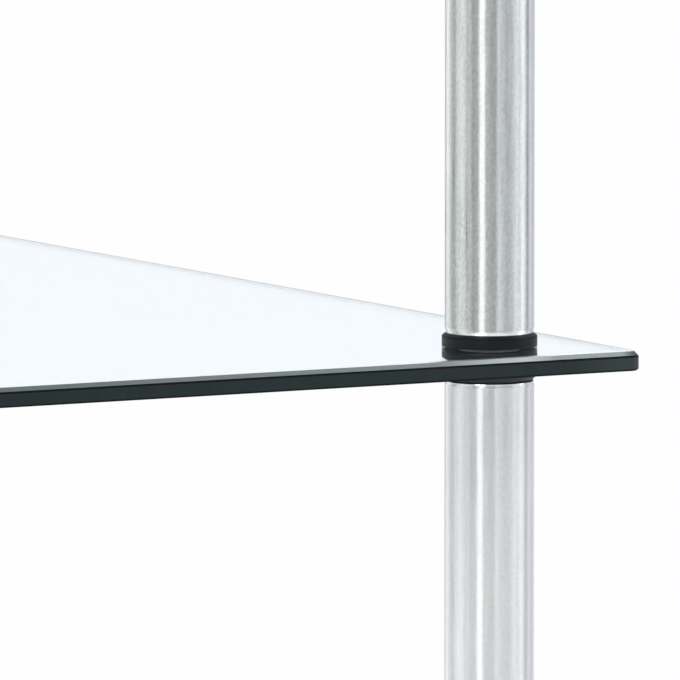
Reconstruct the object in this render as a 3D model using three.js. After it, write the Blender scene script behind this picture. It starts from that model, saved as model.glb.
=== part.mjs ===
// An etagere: square glass shelves clamped between round steel post tubes.
// Each joint is a tube end, its black plastic plug, the drilled glass, the next plug and the
// next tube, drawn together by a steel stud that passes through the glass.
// Millimetres, +Z up. The origin lies on the floor, in the middle of the footprint.
import * as THREE from "three";

// Whole unit
const shelfWidth = 400;
const shelfDepth = 400;
const shelfCount = 3;
const tierPitch = 310; // from one shelf to the same face of the next
const postInset = 27.5; // from the edge of the glass to the axis of a post

// Glass shelf
const glassThickness = 5;
const glassArris = 1; // ground chamfer round the outline and round each hole
const glassCornerRadius = 3;
const glassHoleDiameter = 13;

// Post tube
const tubeDiameter = 22;
const tubeWall = 1;
const tubeRimChamfer = 0.4;
const footTubeLength = 60;

// Plug in each tube end, whose collar is the black ring against the glass
const collarDiameter = 23.4;
const collarHeight = 3.25;
const collarChamfer = 1;
const spigotLength = 15;
const spigotLeadIn = 1;
const spigotClearance = 0.2; // to the bore of the tube, all round

// Stud through the glass
const studDiameter = 8;
const studReach = 12; // into a plug's spigot, past its collar
const studChamfer = 1;
const studClearance = 0.2; // to the bore it is screwed into, all round

// Cap on top of each post
const capHeight = 12;
const capEdgeRadius = 2;
const capBoreSpare = 1.5; // left over the end of the stud

// Foot in the bottom end of each post
const soleHeight = 4;
const footFloorThickness = 3;
const footWall = 2;

// Fineness of the round forms
const postSegments = 18;
const studSegments = 12;
const holeSegments = 16;
const glassCornerSegments = 5;
const capEdgeSegments = 3;

// Sizes that follow
const tubeRadius = tubeDiameter / 2;
const collarRadius = collarDiameter / 2;
const spigotRadius = tubeRadius - tubeWall - spigotClearance;
const studRadius = studDiameter / 2;
const studBoreRadius = studRadius + studClearance;
const jointHeight = glassThickness + 2 * collarHeight;
const tubeLength = tierPitch - jointHeight;
const firstShelfHeight = soleHeight + footTubeLength + collarHeight;

// Materials
function clearGlass() {
  return new THREE.MeshStandardMaterial({
    color: 0xd9ecea,
    roughness: 0.03,
    metalness: 0,
    transparent: true,
    opacity: 0.35,
  });
}

function brushedSteel() {
  return new THREE.MeshStandardMaterial({ color: 0xc9cac8, roughness: 0.32, metalness: 1 });
}

function blackPlastic() {
  return new THREE.MeshStandardMaterial({ color: 0x1b1f20, roughness: 0.45, metalness: 0 });
}

function zincSteel() {
  return new THREE.MeshStandardMaterial({ color: 0xb4b6b2, roughness: 0.4, metalness: 1 });
}

// Shared helpers
function named(name, geometry, material) {
  const mesh = new THREE.Mesh(geometry, material);
  mesh.name = name;
  return mesh;
}

function arcPoints(x, y, radius, start, end, segments) {
  return new THREE.EllipseCurve(x, y, radius, radius, start, end).getPoints(segments);
}

// A profile of [radius, height] pairs turned about the Z axis.
function turned(profile, segments) {
  const points = profile.map(([radius, height]) => new THREE.Vector2(radius, height));
  return new THREE.LatheGeometry(points, segments).rotateX(Math.PI / 2);
}

// A ring's profile has no point on the axis, so it ends where it starts.
function turnedRing(profile, segments) {
  return turned([...profile, profile[0]], segments);
}

// Glass shelf: outline with rounded corners, drilled for the posts, all edges chamfered
function shelfOutline() {
  const corners = [
    [1, -1, -Math.PI / 2],
    [1, 1, 0],
    [-1, 1, Math.PI / 2],
    [-1, -1, Math.PI],
  ];
  return corners.flatMap(([side, face, start]) =>
    arcPoints(
      side * (shelfWidth / 2 - glassCornerRadius),
      face * (shelfDepth / 2 - glassCornerRadius),
      glassCornerRadius,
      start,
      start + Math.PI / 2,
      glassCornerSegments,
    ),
  );
}

function postHole(x, y) {
  const rim = arcPoints(x, y, glassHoleDiameter / 2, 0, 2 * Math.PI, holeSegments);
  rim.pop(); // the last point repeats the first
  return new THREE.Path(rim.reverse());
}

function shelfGeometry(posts) {
  const plate = new THREE.Shape(shelfOutline());
  plate.holes = posts.map(({ x, y }) => postHole(x, y));
  return new THREE.ExtrudeGeometry(plate, {
    depth: glassThickness - 2 * glassArris,
    bevelThickness: glassArris,
    bevelSize: glassArris,
    bevelOffset: -glassArris,
    bevelSegments: 1,
  }).translate(0, 0, glassArris);
}

// Post tube: thin wall, with the outer rim chamfered at both ends
function tubeGeometry(length) {
  const boreRadius = tubeRadius - tubeWall;
  const rimRadius = tubeRadius - tubeRimChamfer;
  return turnedRing(
    [
      [boreRadius, 0],
      [rimRadius, 0],
      [tubeRadius, tubeRimChamfer],
      [tubeRadius, length - tubeRimChamfer],
      [rimRadius, length],
      [boreRadius, length],
    ],
    postSegments,
  );
}

// Plug: collar on the glass at height zero, spigot up into the tube, bored for the stud
function plugGeometry() {
  const spigotTop = collarHeight + spigotLength;
  return turnedRing(
    [
      [studBoreRadius, 0],
      [collarRadius, 0],
      [collarRadius, collarHeight - collarChamfer],
      [collarRadius - collarChamfer, collarHeight],
      [spigotRadius, collarHeight],
      [spigotRadius, spigotTop - spigotLeadIn],
      [spigotRadius - spigotLeadIn, spigotTop],
      [studBoreRadius, spigotTop],
    ],
    postSegments,
  );
}

// Washer between the top shelf and the cap, with the collar's own outline
function washerGeometry() {
  return turnedRing(
    [
      [studBoreRadius, 0],
      [collarRadius, 0],
      [collarRadius, collarHeight - collarChamfer],
      [collarRadius - collarChamfer, collarHeight],
      [studBoreRadius, collarHeight],
    ],
    postSegments,
  );
}

// Stud: from height zero up, both ends chamfered
function studGeometry(length) {
  return turned(
    [
      [0, 0],
      [studRadius - studChamfer, 0],
      [studRadius, studChamfer],
      [studRadius, length - studChamfer],
      [studRadius - studChamfer, length],
      [0, length],
    ],
    studSegments,
  );
}

// Cap: rounded top edge, blind bore from below for the end of the stud
function capGeometry(boreDepth) {
  const rounding = arcPoints(
    tubeRadius - capEdgeRadius,
    capHeight - capEdgeRadius,
    capEdgeRadius,
    0,
    Math.PI / 2,
    capEdgeSegments,
  );
  return turned(
    [
      [0, boreDepth],
      [studBoreRadius, boreDepth],
      [studBoreRadius, 0],
      [tubeRadius - tubeRimChamfer, 0],
      [tubeRadius, tubeRimChamfer],
      ...rounding.map((point) => [point.x, point.y]),
      [0, capHeight],
    ],
    postSegments,
  );
}

// Foot: flat sole on the floor, hollow spigot up into the foot tube
function footGeometry() {
  const spigotTop = soleHeight + spigotLength;
  return turned(
    [
      [0, 0],
      [collarRadius - collarChamfer, 0],
      [collarRadius, collarChamfer],
      [collarRadius, soleHeight - collarChamfer],
      [collarRadius - collarChamfer, soleHeight],
      [spigotRadius, soleHeight],
      [spigotRadius, spigotTop - spigotLeadIn],
      [spigotRadius - spigotLeadIn, spigotTop],
      [spigotRadius - footWall, spigotTop],
      [spigotRadius - footWall, footFloorThickness],
      [0, footFloorThickness],
    ],
    postSegments,
  );
}

// One joint: a plug under the glass, one over it or the washer, and the stud through them
function joint(level, corner, underside) {
  const isTop = level === shelfCount;
  const overside = underside + glassThickness;
  const studBottom = underside - collarHeight - studReach;
  const capStudReach = capHeight / 2;
  const studTop = overside + collarHeight + (isTop ? capStudReach : studReach);

  const under = named(`plug_under_shelf_${level}_${corner}`, plugGeometry(), blackPlastic());
  under.rotation.x = Math.PI;
  under.position.z = underside;

  const stud = named(`stud_${level}_${corner}`, studGeometry(studTop - studBottom), zincSteel());
  stud.position.z = studBottom;

  if (!isTop) {
    const over = named(`plug_over_shelf_${level}_${corner}`, plugGeometry(), blackPlastic());
    over.position.z = overside;
    return [under, stud, over];
  }
  const washer = named(`washer_${corner}`, washerGeometry(), blackPlastic());
  washer.position.z = overside;
  const cap = named(`cap_${corner}`, capGeometry(capStudReach + capBoreSpare), brushedSteel());
  cap.position.z = overside + collarHeight;
  return [under, stud, washer, cap];
}

// One post: foot, foot tube, then a joint and a tube for each tier
function post({ x, y, corner }) {
  const group = new THREE.Group();
  group.position.set(x, y, 0);

  group.add(named(`foot_${corner}`, footGeometry(), blackPlastic()));
  const footTube = named(`foot_tube_${corner}`, tubeGeometry(footTubeLength), brushedSteel());
  footTube.position.z = soleHeight;
  group.add(footTube);

  for (let level = 1; level <= shelfCount; level++) {
    const underside = firstShelfHeight + (level - 1) * tierPitch;
    group.add(...joint(level, corner, underside));
    if (level < shelfCount) {
      const tube = named(`tube_${level}_${corner}`, tubeGeometry(tubeLength), brushedSteel());
      tube.position.z = underside + glassThickness + collarHeight;
      group.add(tube);
    }
  }
  return group;
}

// Where the posts stand
function postPlaces() {
  const x = shelfWidth / 2 - postInset;
  const y = shelfDepth / 2 - postInset;
  return [
    { x: -x, y: -y, corner: "front_left" },
    { x, y: -y, corner: "front_right" },
    { x: -x, y, corner: "back_left" },
    { x, y, corner: "back_right" },
  ];
}

function shelf(level, posts) {
  const mesh = named(`shelf_${level}`, shelfGeometry(posts), clearGlass());
  mesh.position.z = firstShelfHeight + (level - 1) * tierPitch;
  return mesh;
}

function etagere() {
  const group = new THREE.Group();
  const posts = postPlaces();
  for (let level = 1; level <= shelfCount; level++) group.add(shelf(level, posts));
  group.add(...posts.map(post));
  return group;
}

export default etagere();
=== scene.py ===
import math

import bmesh
import bpy
from mathutils import Matrix, Vector


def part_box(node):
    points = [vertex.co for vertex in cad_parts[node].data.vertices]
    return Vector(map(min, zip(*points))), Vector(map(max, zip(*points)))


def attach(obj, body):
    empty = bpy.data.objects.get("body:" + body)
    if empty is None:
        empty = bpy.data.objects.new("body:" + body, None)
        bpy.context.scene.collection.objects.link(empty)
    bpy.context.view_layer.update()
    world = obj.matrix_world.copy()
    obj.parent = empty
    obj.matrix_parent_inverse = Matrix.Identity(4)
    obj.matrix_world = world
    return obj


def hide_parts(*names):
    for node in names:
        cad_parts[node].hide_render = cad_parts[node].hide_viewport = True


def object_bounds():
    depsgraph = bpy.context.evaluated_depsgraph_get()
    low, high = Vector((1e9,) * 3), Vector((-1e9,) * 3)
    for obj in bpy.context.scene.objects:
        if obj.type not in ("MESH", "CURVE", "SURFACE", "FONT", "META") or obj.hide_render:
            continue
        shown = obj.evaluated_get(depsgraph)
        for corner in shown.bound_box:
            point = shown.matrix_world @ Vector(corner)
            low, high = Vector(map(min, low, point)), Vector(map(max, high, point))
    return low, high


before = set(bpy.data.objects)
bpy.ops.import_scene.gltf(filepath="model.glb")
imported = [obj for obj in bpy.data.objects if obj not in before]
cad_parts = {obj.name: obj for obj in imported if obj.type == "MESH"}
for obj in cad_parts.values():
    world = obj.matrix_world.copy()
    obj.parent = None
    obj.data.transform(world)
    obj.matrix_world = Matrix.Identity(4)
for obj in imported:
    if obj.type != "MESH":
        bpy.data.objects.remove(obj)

# Glass etagere: three drilled glass shelves on four posts of brushed steel tube, with black
# plastic plugs whose collars hold the glass. Metres, +Z up, in the frame's own place.

CAD_BOX = [list(corner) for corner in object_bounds()]
CORNERS = ("front_left", "front_right", "back_left", "back_right")
SHELF_LEVELS = (1, 2, 3)
TOP_LEVEL = SHELF_LEVELS[-1]
TUBE_LEVELS = SHELF_LEVELS[:-1]

# Glass shelf
GLASS_CORNER_RADIUS = 0.003
GLASS_CORNER_STEPS = 10
GLASS_ARRIS = 0.0014
LOWER_ARRIS = 0.0005
TOP_EASE_WIDTH = 0.0003
EDGE_LINE_WIDTH = 0.0003
GLASS_HOLE_RADIUS = 0.0065
HOLE_COUNTERSINK = 0.001
CLEAR_TILT, RIM_TILT, ARRIS_TILT, UPRIGHT_TILT = (math.radians(n) for n in (85, 55, 35, 5))

# Post tube and cap
TUBE_RADIUS = 0.011
TUBE_WALL = 0.001
LOWER_END_EASE = (  # facets of an eased end from the wall on: tilt in degrees and length
    (3, 0.00016), (8, 0.00016), (11, 0.00025), (13, 0.0003), (15, 0.0003), (16, 0.00035),
    (16, 0.0001), (30, 0.00004), (50, 0.00004), (72, 0.00003),
)
UPPER_END_EASE = (
    (3, 0.00012), (8, 0.00012), (13, 0.00012), (16, 0.00015), (18.5, 0.0004), (18.5, 0.0001),
    (28, 0.00008), (40, 0.00012), (52, 0.00012), (66, 0.00008),
)
EASE_RUN_IN_SHARE = 1.2  # of an eased end's height, to where the straight wall starts
OUTER_WALL_SHARE = 0.4  # of the wall, from the bore outward, past which a face is outside
TUBE_RIM_TILT, TUBE_CUT_TILT = math.radians(7), math.radians(24)
CAP_EDGE_ROUND = 0.0018
CAP_EDGE_SEGMENTS = 8
CAP_FOOT_ROUND = 0.0003
CAP_BORE_SPARE = 0.001

# Plug, washer and foot
COLLAR_RADIUS = 0.0117
COLLAR_HEIGHT = 0.00325
OVER_SHOULDER = (0.0009, 0.0006)  # inward, down
UNDER_SHOULDER = (0.0012, 0.0012)
COLLAR_EDGE_ROUND = 0.00025
SPIGOT_CLEARANCE = 0.0002
SPIGOT_RADIUS = TUBE_RADIUS - TUBE_WALL - SPIGOT_CLEARANCE
SPIGOT_LEAD_IN = 0.001
SOLE_HEIGHT = 0.004
SOLE_EDGE_ROUND = 0.001
FOOT_WALL = 0.002
FOOT_FLOOR = 0.003

# Stud
STUD_RADIUS = 0.004
STUD_CLEARANCE = 0.0002
STUD_BORE_RADIUS = STUD_RADIUS + STUD_CLEARANCE
THREAD_PITCH = 0.00125
THREAD_DEPTH = 0.0007
THREAD_SHARES = (1 / 8, 1 / 2, 5 / 8)  # of the pitch: root flat's end, crest's start and end
THREAD_STEPS = 24
THREAD_SPARE_TURNS = 2

# Fineness of the meshes, and how near counts as the same place
ROUND_STEPS = 96
ROUND_SEGMENTS = 4
SMOOTH_ANGLE = math.radians(32)
GLASS_SMOOTH_ANGLE = math.radians(12)
MERGE_GAP = 1e-6
SEEK_GAP = 10 * MERGE_GAP
CUT_GAP = MERGE_GAP / 10

# Camera, fitted to the photograph
FRAME_PIXELS = 680
SENSOR_MM = 36
PIXELS_PER_METRE = 4092
JOINT_PIXEL = (489.5, 345.6)
CAMERA_AZIMUTH = math.radians(-28.82)
CAMERA_ELEVATION = math.radians(5.92)
CAMERA_DISTANCE = 3.068
CAMERA_REACH = 100.0

# Colours and masks that several materials share
BLACK, WHITE = (0.0, 0.0, 0.0), (1.0, 1.0, 1.0)
MASK_MIDDLE = (0.3, 0.7)  # where most of a noise mask's values lie


# Node helpers
def feed(tree, socket, value):
    """Links another node's output to an input, or sets a plain number or colour on it."""
    if isinstance(value, bpy.types.NodeSocket):
        tree.links.new(value, socket)
    elif isinstance(value, (int, float)):
        socket.default_value = value
    else:
        socket.default_value = (*value, 1.0)


def add_node(tree, kind, inputs=None, **settings):
    """A new node, with its own settings made first and its inputs fed after them."""
    made = tree.nodes.new(kind)
    for name, value in settings.items():
        setattr(made, name, value)
    for name, value in (inputs or {}).items():
        feed(tree, made.inputs[name], value)
    return made


def reading(tree, kind, output):
    """One output of a node without inputs, such as Light Path."""
    return tree.nodes.new(kind).outputs[output]


def calculate(tree, operation, *values):
    made = add_node(tree, "ShaderNodeMath", dict(enumerate(values)), operation=operation)
    return made.outputs["Value"]


def map_range(tree, value, from_low, from_high, low=0.0, high=1.0):
    """Maps the range from_low to from_high to the range low to high, and stays within it."""
    limits = {"From Min": from_low, "From Max": from_high, "To Min": low, "To Max": high}
    return add_node(tree, "ShaderNodeMapRange", {"Value": value, **limits}).outputs["Result"]


def spread(tree, mask, low, high):
    """Maps a mask's usual middle range to the range low to high."""
    return map_range(tree, mask, *MASK_MIDDLE, low, high)


def mix_colour(tree, factor, first, second, blend="MIX"):
    made = add_node(
        tree, "ShaderNodeMix", {"Factor": factor, "A": first, "B": second},
        data_type="RGBA", blend_type=blend,
    )
    return made.outputs["Result"]


def mix_shader(tree, factor, first, second):
    made = add_node(tree, "ShaderNodeMixShader", {0: factor, 1: first, 2: second})
    return made.outputs["Shader"]


def colour_ramp(tree, factor, *stops):
    """The colours of the stops, each a place from 0 to 1 with a colour, by the factor."""
    ramp = add_node(tree, "ShaderNodeValToRGB", {"Fac": factor})
    points = ramp.color_ramp.elements
    while len(points) < len(stops):
        points.new(0.5)
    for point, (place, colour) in zip(points, stops):
        point.position = place
        point.color = (*colour, 1.0)
    return ramp.outputs["Color"]


def two_tone(tree, mask, dark, light, middle=MASK_MIDDLE):
    """A mask as colours, from dark to light over its middle range."""
    return colour_ramp(tree, mask, *zip(middle, (dark, light)))


def apart(tree, vector):
    """The X, Y and Z of a vector."""
    return add_node(tree, "ShaderNodeSeparateXYZ", {"Vector": vector}).outputs


def turned_about_z(tree, vector, angle):
    made = add_node(
        tree, "ShaderNodeVectorRotate", {"Vector": vector, "Angle": angle},
        rotation_type="Z_AXIS",
    )
    return made.outputs["Vector"]


def bump(tree, shader, height, distance, strength, normal=None):
    """Bump on a shader's normal, over another normal where one is given."""
    inputs = {"Height": height, "Distance": distance, "Strength": strength}
    if normal:
        inputs["Normal"] = normal
    feed(tree, shader.inputs["Normal"], add_node(tree, "ShaderNodeBump", inputs).outputs["Normal"])


# Node groups
def new_group(name, inputs, outputs):
    """A group with float sockets: its tree, its Group Input's outputs, Group Output's inputs."""
    group = bpy.data.node_groups.new(name, "ShaderNodeTree")
    for label, value in inputs.items():
        socket = group.interface.new_socket(label, in_out="INPUT", socket_type="NodeSocketFloat")
        socket.default_value = value
    for label in outputs:
        group.interface.new_socket(label, in_out="OUTPUT", socket_type="NodeSocketFloat")
    given = group.nodes.new("NodeGroupInput").outputs
    return group, given, group.nodes.new("NodeGroupOutput").inputs


def noise(tree, place, scale, detail, roughness):
    inputs = {"Vector": place, "Scale": scale, "Detail": detail, "Roughness": roughness}
    return add_node(tree, "ShaderNodeTexNoise", inputs).outputs[0]


def lengthwise_grain():
    """Brushed grain along Z: a fine scratch, a broad streak and their mix, each about 0 to 1."""
    group, given, result = new_group(
        "lengthwise_grain",
        {"Fine": 1400.0, "Broad": 1150.0, "Long": 0.7, "Short": 0.08},
        ("Scratch", "Streak", "Grain"),
    )
    parts = apart(group, reading(group, "ShaderNodeTexCoord", "Object"))
    masks = []
    for size, squeeze in (("Fine", "Long"), ("Broad", "Short")):
        height = calculate(group, "MULTIPLY", parts["Z"], given[squeeze])
        drawn = add_node(
            group, "ShaderNodeCombineXYZ", {"X": parts["X"], "Y": parts["Y"], "Z": height}
        )
        masks.append(
            noise(group, drawn.outputs["Vector"], given[size], detail=2.0, roughness=0.5)
        )
    mixed = add_node(
        group, "ShaderNodeMix", {"Factor": 0.5, "A": masks[0], "B": masks[1]}, data_type="FLOAT"
    )
    for label, mask in zip(("Scratch", "Streak", "Grain"), (*masks, mixed.outputs["Result"])):
        feed(group, result[label], mask)
    return group


def fine_mottle():
    """Even, fine unevenness of a moulded, ground or cast surface."""
    group, given, result = new_group("fine_mottle", {"Scale": 900.0}, ("Mottle",))
    place = reading(group, "ShaderNodeTexCoord", "Object")
    mask = noise(group, place, given["Scale"], detail=4.0, roughness=0.55)
    feed(group, result["Mottle"], mask)
    return group


def corner_nearness():
    """0 on the middle lines of the unit to 1 at the corners of a shelf."""
    group, _, result = new_group("corner_nearness", {}, ("Nearness",))
    place = reading(group, "ShaderNodeTexCoord", "Object")
    away = add_node(group, "ShaderNodeVectorMath", {0: place}, operation="ABSOLUTE")
    parts = apart(group, away.outputs["Vector"])
    least = calculate(group, "MINIMUM", parts["X"], parts["Y"])
    feed(group, result["Nearness"], calculate(group, "DIVIDE", least, CAD_BOX[1][0]))
    return group


GRAIN = lengthwise_grain()
MOTTLE = fine_mottle()
NEARNESS = corner_nearness()


def place_group(tree, group, inputs=None):
    """The outputs of a group placed in a material."""
    return add_node(tree, "ShaderNodeGroup", inputs, node_tree=group).outputs


def mottle_mask(tree, fineness):
    return place_group(tree, MOTTLE, {"Scale": fineness})["Mottle"]


def nearness_mask(tree):
    return place_group(tree, NEARNESS)["Nearness"]


# Materials: fineness is the scale of a mottle, sheen the lowest and highest roughness
GRAIN_MIDDLE = (0.38, 0.62)
STREAK_DEPTH, STREAK_STRENGTH = 0.000008, 0.9
LIGHTENED_STEEL_TURN = math.radians(2.4)

PLASTIC_IOR = 1.48
MOULDED_FINENESS, MOULDED_SHEEN = 2400.0, (0.36, 0.5)
MOULDED_DEPTH, MOULDED_STRENGTH = 0.00002, 0.4

GLASS_IOR = 1.5
CLEAR_FINENESS, CLEAR_MIDDLE = 14.0, (0.35, 0.65)
CLEAR_TINTS = ((0.955, 0.984, 1.0), (0.97, 0.989, 1.0))
POLISHED_FINENESS = 260.0
# An edge's paler corner colour is painted light
POLISHED_CORNER = (0.90, 0.97)  # where, by nearness, an edge's corner colour starts and is full
GROUND_FINENESS, GROUND_SHEEN, GROUND_SPECULAR = 1800.0, (0.3, 0.42), 0.3
GROUND_FLECK = (0.88, 0.88, 0.88)
# Painted light: the colours that edges take where they are seen through the glass
INSIDE_CORNER = (0.84, 0.96)  # the same, for edges seen through the glass
EDGE_FROM_INSIDE, CORNER_FROM_INSIDE = (0.04, 0.055, 0.07), (0.97, 0.99, 1.0)


def new_material(name, **values):
    """A material with one Principled shader, its plain values set on the shader's own sockets."""
    material = bpy.data.materials.new(name)
    material.use_nodes = True
    tree = material.node_tree
    shader = tree.nodes["Principled BSDF"]
    for label, value in values.items():
        shader.inputs[label.replace("_", " ")].default_value = value
    return material, tree, shader


def dress(tree, shader, colour, roughness):
    """Gives a shader a colour and a roughness that change over the surface."""
    feed(tree, shader.inputs["Base Color"], colour)
    feed(tree, shader.inputs["Roughness"], roughness)


def brushed_steel(name, metallic, sheen, dark, light, turn=0.0):
    """Steel with lengthwise grain. Turn moves what it mirrors round the post."""
    material, tree, shader = new_material(name, Metallic=metallic)
    grain = place_group(tree, GRAIN)
    tint = two_tone(tree, grain["Grain"], dark, light, GRAIN_MIDDLE)
    dress(tree, shader, tint, spread(tree, grain["Scratch"], *sheen))
    normal = None
    if turn:
        normal = turned_about_z(tree, reading(tree, "ShaderNodeNewGeometry", "Normal"), turn)
    bump(tree, shader, grain["Streak"], STREAK_DEPTH, STREAK_STRENGTH, normal)
    return material


def mottled_metal(name, fineness, sheen, dark, light):
    material, tree, shader = new_material(name, Metallic=1.0)
    mottle = mottle_mask(tree, fineness)
    dress(tree, shader, two_tone(tree, mottle, dark, light), spread(tree, mottle, *sheen))
    return material


def black_plastic(name, specular, dark, light):
    """Moulded, satin plastic."""
    material, tree, shader = new_material(name, IOR=PLASTIC_IOR, Specular_IOR_Level=specular)
    mottle = mottle_mask(tree, MOULDED_FINENESS)
    tint = two_tone(tree, mottle, dark, light)
    dress(tree, shader, tint, spread(tree, mottle, *MOULDED_SHEEN))
    bump(tree, shader, mottle, MOULDED_DEPTH, MOULDED_STRENGTH)
    return material


def clear_glass():
    material, tree, shader = new_material(
        "clear_glass", Roughness=0.0, IOR=GLASS_IOR, Transmission_Weight=1.0
    )
    tint = two_tone(tree, mottle_mask(tree, CLEAR_FINENESS), *CLEAR_TINTS, CLEAR_MIDDLE)
    feed(tree, shader.inputs["Base Color"], tint)
    return material


def seen_from_inside(tree, outside):
    """The outside colour, or painted light where a face is seen through the glass: a paler colour
    that stands in for the light reaching it there. It is palest near the corners and after a
    bounce inside the glass."""
    inside = two_tone(
        tree, nearness_mask(tree), EDGE_FROM_INSIDE, CORNER_FROM_INSIDE, INSIDE_CORNER
    )
    bounces = reading(tree, "ShaderNodeLightPath", "Glossy Depth")
    paler = mix_colour(tree, bounces, inside, CORNER_FROM_INSIDE)
    return mix_colour(tree, reading(tree, "ShaderNodeNewGeometry", "Backfacing"), outside, paler)


def glass_edge(name, specular, sheen, dark, light, corner):
    """Polished glass edge: dark, mottled between two colours, with a paler colour painted near the
    corners as light that the edge catches there.
    """
    material, tree, shader = new_material(name, IOR=GLASS_IOR, Specular_IOR_Level=specular)
    mottle = mottle_mask(tree, POLISHED_FINENESS)
    near = two_tone(tree, nearness_mask(tree), BLACK, WHITE, POLISHED_CORNER)
    tint = mix_colour(tree, near, two_tone(tree, mottle, dark, light), corner)
    dress(tree, shader, seen_from_inside(tree, tint), spread(tree, mottle, *sheen))
    return material


def ground_arris(name, *shades):
    """Satin ground band. Shades are its colours from the middle of a side to the corner: the
    band's own satin grey with painted light and reflection changing along it.
    """
    material, tree, shader = new_material(
        name, IOR=GLASS_IOR, Specular_IOR_Level=GROUND_SPECULAR
    )
    mottle = mottle_mask(tree, GROUND_FINENESS)
    near = colour_ramp(tree, nearness_mask(tree), *shades)
    fleck = two_tone(tree, mottle, GROUND_FLECK, WHITE)
    tint = mix_colour(tree, 1.0, near, fleck, "MULTIPLY")
    dress(tree, shader, seen_from_inside(tree, tint), spread(tree, mottle, *GROUND_SHEEN))
    return material


CRISP_STEEL = brushed_steel(
    "crisp_steel", 1.0, (0.08, 0.15), (0.79, 0.825, 0.81), (0.955, 0.995, 0.98)
)
# Painted light: the lower tubes get a paler, partly diffuse copy of the tube steel, lighter only
# for the light that falls on them there
LIGHTENED_STEEL = brushed_steel(
    "lightened_steel", 0.56, (0.06, 0.12), (0.88, 0.90, 0.915), (0.98, 0.995, 1.0), LIGHTENED_STEEL_TURN
)
TUBE_STEELS = (LIGHTENED_STEEL, CRISP_STEEL)  # of the tubes from the lower tier up
POLISHED_RIM = mottled_metal(
    "polished_rim", 1500.0, (0.12, 0.2), (0.93, 0.93, 0.93), (0.99, 0.99, 0.99)
)
# Painted shade: the cut at a tube's very end is near-black steel, a painted shadow line where the
# collar shades it
SHADED_CUT_STEEL = mottled_metal(  # the dull cut at a tube's very end, in the shade of the collar
    "shaded_cut_steel", 1500.0, (0.45, 0.6), (0.03, 0.033, 0.033), (0.055, 0.058, 0.058)
)
ZINC_STEEL = mottled_metal(
    "zinc_steel", 700.0, (0.3, 0.45), (0.58, 0.60, 0.63), (0.72, 0.73, 0.74)
)
BLACK_PLASTIC = black_plastic(
    "black_plastic", 0.3, (0.003, 0.006, 0.008), (0.006, 0.010, 0.013)
)
# Painted shade: the collar's shoulder is the same black plastic with weaker gloss, darker for the
# shade of the tube above it
SHADED_SHOULDER_PLASTIC = black_plastic(
    "shaded_shoulder_plastic", 0.1, (0.003, 0.006, 0.008), (0.006, 0.010, 0.013)
)
# Painted light: the collars under the glass are a paler, teal copy of the same black plastic,
# lighter for the light that falls on them there
LIT_UNDER_PLASTIC = black_plastic(
    "lit_under_plastic", 0.3, (0.020, 0.031, 0.034), (0.028, 0.041, 0.044)
)
CLEAR_GLASS = clear_glass()
# Painted light: the edge's third colour, paler near the corners
GLASS_EDGE = glass_edge(
    "glass_edge", 0.5, (0.1, 0.18),
    (0.001, 0.011, 0.012), (0.003, 0.017, 0.018), (0.018, 0.033, 0.034),
)
# Painted shade: near-black glass for the strip between the arris and the edge, the lower arris and
# the lower countersinks, where the edge shows dark lines
EDGE_SHADE_LINE = glass_edge(
    "edge_shade_line", 0.1, (0.5, 0.6),
    (0.002, 0.004, 0.004), (0.003, 0.006, 0.006), (0.003, 0.006, 0.006),
)
# Painted light: the arris is palest over a stretch short of the corners and dark at their tips
GROUND_ARRIS = ground_arris(
    "ground_arris",
    (0.10, (0.11, 0.14, 0.14)), (0.50, (0.17, 0.21, 0.21)), (0.72, (0.21, 0.25, 0.25)),
    (0.79, (0.40, 0.46, 0.46)), (0.84, (0.50, 0.56, 0.56)), (0.88, (0.29, 0.34, 0.34)),
    (0.972, (0.31, 0.36, 0.36)), (0.988, (0.05, 0.06, 0.06)),
)
# Painted highlight and shade: the eased rim is a white glint, with a dark stretch short of the
# corners
PAINTED_EASED_RIM = ground_arris(
    "painted_eased_rim",
    (0.70, (0.94, 0.96, 0.97)), (0.73, (0.03, 0.04, 0.04)), (0.79, (0.03, 0.04, 0.04)),
    (0.84, (0.10, 0.12, 0.12)), (0.87, (0.97, 0.98, 0.99)),
)
GLASS_LOOKS = (CLEAR_GLASS, GLASS_EDGE, GROUND_ARRIS, EDGE_SHADE_LINE, PAINTED_EASED_RIM)
OVER_LOOKS = (BLACK_PLASTIC, SHADED_SHOULDER_PLASTIC)  # of the side, of the shoulder
UNDER_LOOKS = (LIT_UNDER_PLASTIC, LIT_UNDER_PLASTIC)


# Mesh helpers
def post_axis(corner):
    """The place of a post in plan."""
    low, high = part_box(f"foot_{corner}")
    return (low + high) / 2


def finish_mesh(bm, name, materials, smooth_angle=SMOOTH_ANGLE):
    """Closes a bmesh into an object: doubles merged, normals out, smooth but for sharp edges."""
    bmesh.ops.remove_doubles(bm, verts=bm.verts, dist=MERGE_GAP)
    bmesh.ops.recalc_face_normals(bm, faces=bm.faces)
    for face in bm.faces:
        face.smooth = True
    for edge in bm.edges:
        edge.smooth = edge.calc_face_angle(0.0) < smooth_angle
    mesh = bpy.data.meshes.new(name)
    bm.to_mesh(mesh)
    bm.free()
    for material in materials:
        mesh.materials.append(material)
    piece = bpy.data.objects.new(name, mesh)
    bpy.context.scene.collection.objects.link(piece)
    return piece


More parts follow.
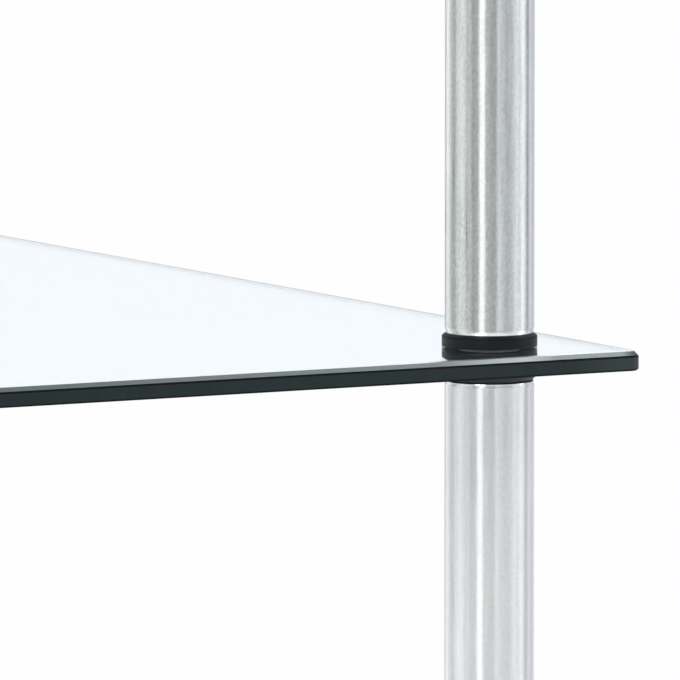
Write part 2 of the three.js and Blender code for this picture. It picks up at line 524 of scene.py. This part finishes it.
def turn_profile(profile, ring):
    """A bmesh of [radius, height] points turned about Z. A ring's profile closes on itself."""
    bm = bmesh.new()
    points = [bm.verts.new((radius, 0.0, height)) for radius, height in profile]
    pairs = list(zip(points, points[1:])) + ([(points[-1], points[0])] if ring else [])
    edges = [bm.edges.new(pair) for pair in pairs]
    bmesh.ops.spin(
        bm, geom=points + edges, cent=(0, 0, 0), axis=(0, 0, 1), angle=2 * math.pi,
        steps=ROUND_STEPS, use_merge=True,
    )
    bmesh.ops.remove_doubles(bm, verts=bm.verts, dist=MERGE_GAP)
    bmesh.ops.recalc_face_normals(bm, faces=bm.faces)
    return bm


def ring_edges(bm, radius, height):
    """The edges of the circle with that radius and height."""
    def on_ring(vert):
        reach = math.hypot(vert.co.x, vert.co.y)
        return abs(reach - radius) < SEEK_GAP and abs(vert.co.z - height) < SEEK_GAP

    return [edge for edge in bm.edges if all(on_ring(vert) for vert in edge.verts)]


def round_ring(bm, radius, height, width, segments=ROUND_SEGMENTS):
    """Rounds one circular edge and returns the faces of the rounding."""
    made = bmesh.ops.bevel(
        bm, geom=ring_edges(bm, radius, height), offset=width, offset_type="OFFSET",
        affect="EDGES", segments=segments, profile=0.5, material=-1, clamp_overlap=True,
    )
    return made["faces"]


def tilt_of(face):
    """How far a face turns up or down from upright."""
    return math.asin(min(1.0, abs(face.normal.z)))


def stand(bm, corner, height, upside_down=False):
    """Moves a turned piece from the Z axis to its post, at that height."""
    if upside_down:
        bmesh.ops.rotate(bm, verts=bm.verts, matrix=Matrix.Rotation(math.pi, 3, "X"))
    place = post_axis(corner)
    bmesh.ops.translate(bm, verts=bm.verts, vec=(place.x, place.y, height))


def carry(piece, node):
    """The piece rides on the unit and takes the node's place."""
    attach(piece, "root")
    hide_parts(node)


# Glass shelves
def hole_cutter(thickness):
    """A drill with a countersink at both faces, about Z from height zero to the thickness."""
    over = HOLE_COUNTERSINK  # how far the cutter reaches past both faces
    flare = GLASS_HOLE_RADIUS + HOLE_COUNTERSINK + over
    return turn_profile(
        [
            (0.0, -over), (flare, -over), (GLASS_HOLE_RADIUS, HOLE_COUNTERSINK),
            (GLASS_HOLE_RADIUS, thickness - HOLE_COUNTERSINK), (flare, thickness + over),
            (0.0, thickness + over),
        ],
        ring=False,
    )


def glass_blank(low, high):
    """The plate before drilling: rounded corners, ground and eased edges."""
    bm = bmesh.new()
    bmesh.ops.create_cube(bm, size=1.0)
    bmesh.ops.scale(bm, vec=high - low, verts=bm.verts)
    bmesh.ops.translate(bm, vec=(low + high) / 2, verts=bm.verts)
    upright = [e for e in bm.edges if abs(e.verts[0].co.z - e.verts[1].co.z) > MERGE_GAP]
    bmesh.ops.bevel(
        bm, geom=upright, offset=GLASS_CORNER_RADIUS, offset_type="OFFSET", affect="EDGES",
        segments=GLASS_CORNER_STEPS, profile=0.5, material=-1,
    )
    for height, width in (
        (low.z, LOWER_ARRIS), (high.z, GLASS_ARRIS),
        (high.z - GLASS_ARRIS, EDGE_LINE_WIDTH), (high.z, TOP_EASE_WIDTH),
    ):
        sharp = [
            e for e in bm.edges if e.calc_face_angle(0.0) > SMOOTH_ANGLE
            and all(abs(v.co.z - height) < SEEK_GAP for v in e.verts)
        ]
        bmesh.ops.bevel(
            bm, geom=sharp, offset=width, offset_type="OFFSET", affect="EDGES",
            segments=1, profile=0.5, material=-1,
        )
    return bm


def drilled(plate, holes):
    """The plate with the holes cut through it, as a bmesh. Both objects are used up."""
    cut = plate.modifiers.new("drill", "BOOLEAN")
    cut.operation, cut.solver, cut.object = "DIFFERENCE", "EXACT", holes
    graph = bpy.context.evaluated_depsgraph_get()
    mesh = bpy.data.meshes.new_from_object(plate.evaluated_get(graph))
    bm = bmesh.new()
    bm.from_mesh(mesh)
    for used in (plate, holes):
        bpy.data.objects.remove(used)
    return bm


def paint_glass(bm, middle):
    """Gives each face its look by how far it turns up or down from the upright edge."""
    for face in bm.faces:
        tilt = tilt_of(face)
        upper = face.calc_center_median().z > middle
        if tilt > CLEAR_TILT:
            look = CLEAR_GLASS
        elif tilt > RIM_TILT and upper:
            look = PAINTED_EASED_RIM
        elif tilt > ARRIS_TILT and upper:
            look = GROUND_ARRIS
        elif tilt < UPRIGHT_TILT:
            look = GLASS_EDGE
        else:
            look = EDGE_SHADE_LINE
        face.material_index = GLASS_LOOKS.index(look)


def glass_shelf(level):
    node = f"shelf_{level}"
    low, high = (Vector(corner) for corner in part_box(node))
    plate = finish_mesh(glass_blank(low, high), "plate", [])
    cutter = bmesh.new()
    for corner in CORNERS:
        hole = hole_cutter(high.z - low.z)
        stand(hole, corner, low.z)
        mesh = bpy.data.meshes.new("hole")
        hole.to_mesh(mesh)
        hole.free()
        cutter.from_mesh(mesh)
        bpy.data.meshes.remove(mesh)
    bm = drilled(plate, finish_mesh(cutter, "holes", []))
    paint_glass(bm, (low.z + high.z) / 2)
    piece = finish_mesh(bm, f"glass_shelf_{level}", GLASS_LOOKS, GLASS_SMOOTH_ANGLE)
    carry(piece, node)


# Post tubes
def eased_end(facets):
    """Points of a tube's eased end as (radius, distance from the end), from the end inward."""
    radius = TUBE_RADIUS
    height = sum(length * math.cos(math.radians(tilt)) for tilt, length in facets)
    points = [(radius, height * EASE_RUN_IN_SHARE), (radius, height)]
    for tilt, length in facets:
        radius -= length * math.sin(math.radians(tilt))
        height -= length * math.cos(math.radians(tilt))
        points.append((radius, max(height, 0.0)))
    points[-1] = (radius, 0.0)
    return points[::-1]


def post_tube(node, name, corner, steel):
    """Its wall in the given steel, its eased ends polished and their last stretch painted
    near-black steel as the shade of the collar.
    """
    low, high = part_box(node)
    length = high.z - low.z
    bore = TUBE_RADIUS - TUBE_WALL
    lower = eased_end(LOWER_END_EASE)
    upper = [(radius, length - height) for radius, height in reversed(eased_end(UPPER_END_EASE))]
    bm = turn_profile([(bore, 0.0), *lower, *upper, (bore, length)], ring=True)
    looks = [steel, POLISHED_RIM, SHADED_CUT_STEEL]
    outer = bore + TUBE_WALL * OUTER_WALL_SHARE
    for face in bm.faces:
        tilt = tilt_of(face)
        if tilt > TUBE_RIM_TILT and face.calc_center_median().to_2d().length > outer:
            look = SHADED_CUT_STEEL if tilt > TUBE_CUT_TILT else POLISHED_RIM
            face.material_index = looks.index(look)
    stand(bm, corner, low.z)
    carry(finish_mesh(bm, name, looks), node)


# Plugs and washers
def collar(beyond, shoulder):
    """A turned collar, its base at height zero. Beyond is what follows up from its shoulder."""
    inward, down = shoulder
    side = COLLAR_HEIGHT - down
    outline = [
        (STUD_BORE_RADIUS, 0.0), (COLLAR_RADIUS, 0.0), (COLLAR_RADIUS, side),
        (COLLAR_RADIUS - inward, COLLAR_HEIGHT),
    ]
    bm = turn_profile(outline + beyond, ring=True)
    round_ring(bm, COLLAR_RADIUS, 0.0, COLLAR_EDGE_ROUND)
    slope = round_ring(bm, COLLAR_RADIUS, side, COLLAR_EDGE_ROUND)
    slope += [f for f in bm.faces if side < f.calc_center_median().z < COLLAR_HEIGHT]
    for face in slope:
        face.material_index = 1  # the second of the looks
    return bm


def plug(node, name, corner, under):
    low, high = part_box(node)
    top = high.z - low.z
    spigot = [
        (SPIGOT_RADIUS, COLLAR_HEIGHT), (SPIGOT_RADIUS, top - SPIGOT_LEAD_IN),
        (SPIGOT_RADIUS - SPIGOT_LEAD_IN, top), (STUD_BORE_RADIUS, top),
    ]
    bm = collar(spigot, UNDER_SHOULDER if under else OVER_SHOULDER)
    stand(bm, corner, high.z if under else low.z, upside_down=under)
    looks = UNDER_LOOKS if under else OVER_LOOKS
    carry(finish_mesh(bm, name, looks), node)


def washer(corner):
    node = f"washer_{corner}"
    bm = collar([(STUD_BORE_RADIUS, COLLAR_HEIGHT)], OVER_SHOULDER)
    stand(bm, corner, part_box(node)[0].z)
    carry(finish_mesh(bm, f"cap_washer_{corner}", OVER_LOOKS), node)


# Caps
def cap(corner):
    node = f"cap_{corner}"
    low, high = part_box(node)
    height = high.z - low.z
    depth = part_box(f"stud_{TOP_LEVEL}_{corner}")[1].z - low.z + CAP_BORE_SPARE
    bm = turn_profile(
        [
            (0.0, depth), (STUD_BORE_RADIUS, depth), (STUD_BORE_RADIUS, 0.0),
            (TUBE_RADIUS, 0.0), (TUBE_RADIUS, height), (0.0, height),
        ],
        ring=False,
    )
    round_ring(bm, TUBE_RADIUS, height, CAP_EDGE_ROUND, CAP_EDGE_SEGMENTS)
    round_ring(bm, TUBE_RADIUS, 0.0, CAP_FOOT_ROUND)
    stand(bm, corner, low.z)
    carry(finish_mesh(bm, f"post_cap_{corner}", [CRISP_STEEL]), node)


# Feet
def foot(corner):
    node = f"foot_{corner}"
    low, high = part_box(node)
    top = high.z - low.z
    inner = SPIGOT_RADIUS - FOOT_WALL
    bm = turn_profile(
        [
            (0.0, 0.0), (COLLAR_RADIUS, 0.0), (COLLAR_RADIUS, SOLE_HEIGHT),
            (SPIGOT_RADIUS, SOLE_HEIGHT), (SPIGOT_RADIUS, top - SPIGOT_LEAD_IN),
            (SPIGOT_RADIUS - SPIGOT_LEAD_IN, top), (inner, top), (inner, FOOT_FLOOR),
            (0.0, FOOT_FLOOR),
        ],
        ring=False,
    )
    for height in (0.0, SOLE_HEIGHT):
        round_ring(bm, COLLAR_RADIUS, height, SOLE_EDGE_ROUND)
    stand(bm, corner, low.z)
    carry(finish_mesh(bm, f"plastic_foot_{corner}", [BLACK_PLASTIC]), node)


# Studs
def threaded_rod(length):
    """A helical thread, spun a pitch for each turn, cut square at both ends and closed."""
    turns = math.ceil(length / THREAD_PITCH) + THREAD_SPARE_TURNS
    bm = bmesh.new()
    root = STUD_RADIUS - THREAD_DEPTH
    flat_end, crest_start, crest_end = (THREAD_PITCH * share for share in THREAD_SHARES)
    profile = [
        (root, 0.0), (root, flat_end), (STUD_RADIUS, crest_start), (STUD_RADIUS, crest_end),
        (root, THREAD_PITCH),
    ]
    points = [bm.verts.new((radius, 0.0, height - THREAD_PITCH)) for radius, height in profile]
    edges = [bm.edges.new(pair) for pair in zip(points, points[1:])]
    bmesh.ops.spin(
        bm, geom=points + edges, cent=(0, 0, 0), axis=(0, 0, 1), angle=2 * math.pi * turns,
        steps=THREAD_STEPS * turns, dvec=(0, 0, THREAD_PITCH / THREAD_STEPS), use_merge=False,
    )
    bmesh.ops.remove_doubles(bm, verts=bm.verts, dist=MERGE_GAP)
    for height, normal in ((0.0, -1.0), (length, 1.0)):
        bmesh.ops.bisect_plane(
            bm, geom=bm.verts[:] + bm.edges[:] + bm.faces[:], dist=CUT_GAP,
            plane_co=(0, 0, height), plane_no=(0, 0, normal), clear_outer=True,
        )
        rim = [edge for edge in bm.edges if edge.is_boundary]
        rim = [e for e in rim if all(abs(v.co.z - height) < MERGE_GAP for v in e.verts)]
        bmesh.ops.contextual_create(bm, geom=rim)
    return bm


def stud(level, corner):
    node = f"stud_{level}_{corner}"
    low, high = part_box(node)
    bm = threaded_rod(high.z - low.z)
    stand(bm, corner, low.z)
    carry(finish_mesh(bm, f"threaded_stud_{level}_{corner}", [ZINC_STEEL]), node)


def post(corner):
    """Everything on one post, from the foot up."""
    foot(corner)
    post_tube(f"foot_tube_{corner}", f"foot_post_tube_{corner}", corner, LIGHTENED_STEEL)
    for level, steel in zip(TUBE_LEVELS, TUBE_STEELS):
        post_tube(f"tube_{level}_{corner}", f"post_tube_{level}_{corner}", corner, steel)
        plug(f"plug_over_shelf_{level}_{corner}", f"collar_over_{level}_{corner}", corner, False)
    for level in SHELF_LEVELS:
        plug(f"plug_under_shelf_{level}_{corner}", f"collar_under_{level}_{corner}", corner, True)
        stud(level, corner)
    washer(corner)
    cap(corner)


# Camera, floor and light
def photo_camera():
    """Looks at the front right post, where it passes the middle shelf, as the photograph does."""
    sine, cosine = math.sin(CAMERA_AZIMUTH), math.cos(CAMERA_AZIMUTH)
    level, rise = math.cos(CAMERA_ELEVATION), math.sin(CAMERA_ELEVATION)
    back = Vector((sine * level, -cosine * level, rise))
    right = Vector((cosine, sine, 0.0))
    up = back.cross(right)
    joint = post_axis("front_right")
    joint.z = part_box("shelf_2")[1].z
    across = (JOINT_PIXEL[0] - FRAME_PIXELS / 2) / PIXELS_PER_METRE
    down = (JOINT_PIXEL[1] - FRAME_PIXELS / 2) / PIXELS_PER_METRE
    data = bpy.data.cameras.new("photo_camera")
    data.sensor_width = SENSOR_MM
    data.lens = PIXELS_PER_METRE * CAMERA_DISTANCE / FRAME_PIXELS * SENSOR_MM
    data.clip_end = CAMERA_REACH
    camera = bpy.data.objects.new("photo_camera", data)
    camera.location = joint - right * across + up * down + back * CAMERA_DISTANCE
    camera.rotation_mode = "QUATERNION"
    camera.rotation_quaternion = back.to_track_quat("Z", "Y")
    bpy.context.scene.collection.objects.link(camera)
    bpy.context.scene.camera = camera


FLOOR_RADIUS, FLOOR_SEGMENTS = 2.2, 128
FLOOR_FADE = (0.55, 1.7)  # how far from the middle it starts and ends
FLOOR_GREY = (0.86, 0.86, 0.86)
BACKGROUND = (0.991, 0.991, 0.991)


def floor():
    """A pale disc that keeps the shadow near the unit and fades to the background's white. The
    metal and the glass don't mirror it."""
    bm = bmesh.new()
    bmesh.ops.create_circle(bm, cap_ends=True, segments=FLOOR_SEGMENTS, radius=FLOOR_RADIUS)
    bmesh.ops.translate(bm, verts=bm.verts, vec=(0, 0, CAD_BOX[0][2]))
    material, tree, shader = new_material("floor", Roughness=0.6)
    feed(tree, shader.inputs["Base Color"], FLOOR_GREY)
    place = reading(tree, "ShaderNodeTexCoord", "Object")
    reach = add_node(tree, "ShaderNodeVectorMath", {0: place}, operation="LENGTH")
    fade = map_range(tree, reach.outputs["Value"], *FLOOR_FADE)
    rays = add_node(tree, "ShaderNodeLightPath").outputs
    seen = calculate(tree, "MAXIMUM", rays["Is Camera Ray"], rays["Is Transmission Ray"])
    white = add_node(tree, "ShaderNodeEmission", {"Color": BACKGROUND}).outputs["Emission"]
    clear = add_node(tree, "ShaderNodeBsdfTransparent").outputs["BSDF"]
    faded = mix_shader(
        tree, calculate(tree, "MULTIPLY", seen, fade), shader.outputs["BSDF"], white
    )
    shown = mix_shader(tree, rays["Glossy Depth"], faded, clear)
    feed(tree, tree.nodes["Material Output"].inputs["Surface"], shown)
    finish_mesh(bm, "floor", [material])


# The studio that the metal mirrors: light boxes and flags between pale walls, by degrees to the
# right of the camera as seen from the unit, with how bright each is and its tint.
PLAIN, BLUISH, COOL = (1, 1, 1), (0.94, 0.985, 1.035), (0.985, 0.995, 1.02)
GREENISH, LILAC = (0.985, 1.0, 0.99), (0.97, 0.965, 1.04)
STUDIO_BANDS = (
    (-172, 1.00, BLUISH), (-162, 0.50, PLAIN), (-140, 0.94, PLAIN), (-132, 0.92, GREENISH),
    (-121, 0.64, GREENISH), (-106, 0.37, GREENISH), (-94, 0.67, GREENISH), (-80, 0.80, GREENISH),
    (-70, 0.76, PLAIN), (-60, 0.50, PLAIN), (-53, 0.59, PLAIN), (-44, 0.36, PLAIN),
    (-31, 0.46, PLAIN), (-24, 1.12, PLAIN), (-16, 1.12, PLAIN), (-10, 0.53, PLAIN),
    (2, 0.42, PLAIN), (14, 0.40, COOL), (22, 0.73, COOL), (30, 0.61, COOL),
    (45, 0.48, COOL), (60, 0.58, COOL), (72, 0.83, COOL), (82, 0.75, COOL),
    (94, 1.02, COOL), (101, 0.85, COOL), (112, 0.36, LILAC), (127, 0.76, LILAC),
    (140, 0.58, LILAC), (165, 0.72, LILAC), (173, 1.00, BLUISH),
)

# Pale ceiling and floor that it mirrors over a range of steepness, 0 being level and 1 upright
SKY_START, SKY_FULL, SKY_FADE, SKY_END = 0.49, 0.57, 0.64, 0.78
SKY_LIGHT = (0.95, 0.96, 0.98)

# Light on what isn't mirror-like, and the share of it that leans to the camera's left
ROOM_LIGHT, ROOM_LEAN = 0.70, 0.55


def sky_share(tree, steepness):
    """1 while a direction's steepness is in the sky's range, falling to 0 at both its ends."""
    rise = map_range(tree, steepness, SKY_START, SKY_FULL)
    fall = map_range(tree, steepness, SKY_END, SKY_FADE)
    return calculate(tree, "MINIMUM", rise, fall)


def studio_world():
    """White for what the camera and the glass see, grey bands for what the metal mirrors."""
    world = bpy.data.worlds.new("studio")
    bpy.context.scene.world = world
    world.use_nodes = True
    tree = world.node_tree
    tree.nodes.clear()
    way = reading(tree, "ShaderNodeTexCoord", "Generated")
    parts = apart(tree, turned_about_z(tree, way, -CAMERA_AZIMUTH))
    ahead = calculate(tree, "MULTIPLY", parts["Y"], -1.0)
    round_about = calculate(tree, "ARCTAN2", parts["X"], ahead)
    bands = colour_ramp(
        tree, map_range(tree, round_about, -math.pi, math.pi),
        *(((turned + 180) / 360, Vector(tint) * level) for turned, level, tint in STUDIO_BANDS)
    )
    sky = sky_share(tree, calculate(tree, "ABSOLUTE", parts["Z"]))
    dome = mix_colour(tree, sky, bands, SKY_LIGHT)
    leant = calculate(tree, "MULTIPLY_ADD", parts["X"], -ROOM_LIGHT * ROOM_LEAN, ROOM_LIGHT)
    plain, mirrored, white = (
        add_node(tree, "ShaderNodeBackground", {"Color": colour, "Strength": strength}).outputs[0]
        for colour, strength in ((WHITE, leant), (dome, 1.0), (BACKGROUND, 1.0))
    )
    rays = add_node(tree, "ShaderNodeLightPath").outputs
    unmirrored = calculate(tree, "LESS_THAN", rays["Glossy Depth"], 0.5)
    through = calculate(tree, "MULTIPLY", rays["Is Transmission Ray"], unmirrored)
    seen = calculate(tree, "MAXIMUM", rays["Is Camera Ray"], through)
    gloss = mix_shader(tree, rays["Is Glossy Ray"], plain, mirrored)
    add_node(tree, "ShaderNodeOutputWorld", {"Surface": mix_shader(tree, seen, gloss, white)})


# Lamps: name, place, width and watts
SOFT_BOXES = (
    ("key_soft_box", (-1.6, -1.2, 2.4), 1.4, 34),
    ("fill_soft_box", (1.9, -0.6, 1.8), 1.6, 12),
)


def soft_box(name, place, width, watts):
    """An area lamp aimed at the middle of the unit."""
    data = bpy.data.lights.new(name, "AREA")
    data.shape, data.size, data.energy = "DISK", width, watts
    lamp = bpy.data.objects.new(name, data)
    lamp.location = place
    middle = Vector((0, 0, CAD_BOX[1][2] / 2))
    lamp.rotation_mode = "QUATERNION"
    lamp.rotation_quaternion = (lamp.location - middle).to_track_quat("Z", "Y")
    bpy.context.scene.collection.objects.link(lamp)


photo_camera()
for shelf_level in SHELF_LEVELS:
    glass_shelf(shelf_level)
for post_corner in CORNERS:
    post(post_corner)
floor()
studio_world()
for box in SOFT_BOXES:
    soft_box(*box)
bpy.context.scene.view_settings.view_transform = "Standard"
